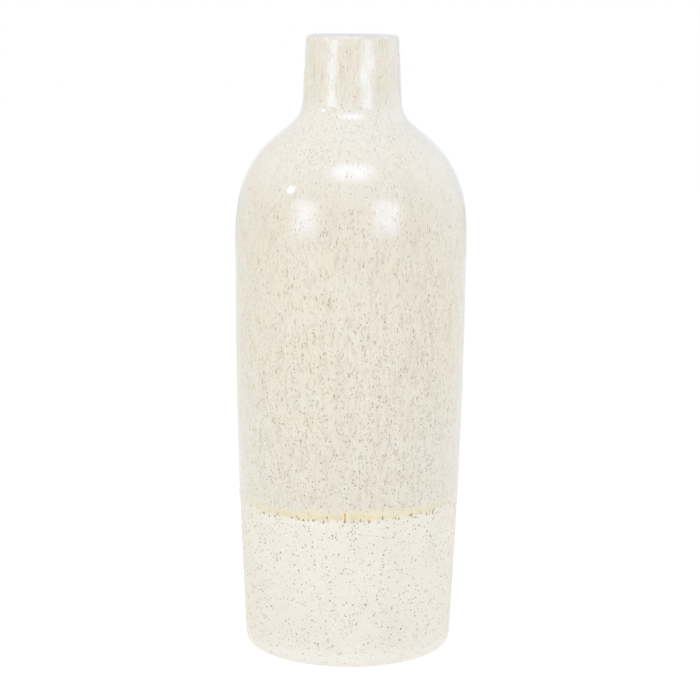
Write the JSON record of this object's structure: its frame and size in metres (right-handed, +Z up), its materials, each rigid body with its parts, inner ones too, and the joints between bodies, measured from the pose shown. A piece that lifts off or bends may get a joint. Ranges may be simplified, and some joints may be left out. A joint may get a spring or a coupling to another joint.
{
  "type": "bottle vase",
  "caption": "Tall stoneware bottle vase with a drawn-in body, round shoulder and narrow neck, glossy pale glaze above a bare speckled foot; holds cut stems in water.",
  "frame": {"origin": "centre of the base, on the surface that the felt pads stand on", "axes": "+Z up along the vase's axis; -Y towards the viewer in the picture, +X to the right"},
  "size_m": [0.12, 0.12, 0.3204],
  "materials": {
    "bare_stoneware": "matt unglazed cream stoneware with fine brown iron specks",
    "outer_glaze": "glossy cream reactive glaze with fine beige streaks and specks that run down",
    "liner_glaze": "glossy off-white glaze",
    "amber_glaze": "glossy pale amber bead with brown dots where the glaze stopped running",
    "felt": "pressed grey-beige felt"
  },
  "bodies": {
    "root": {"stoneware_body": "bare_stoneware", "outer_glaze": "outer_glaze", "liner_glaze": "liner_glaze", "amber_bead": "amber_glaze", "felt_pad_1": "felt", "felt_pad_2": "felt", "felt_pad_3": "felt", "felt_pad_4": "felt"}
  },
  "joints": []
}
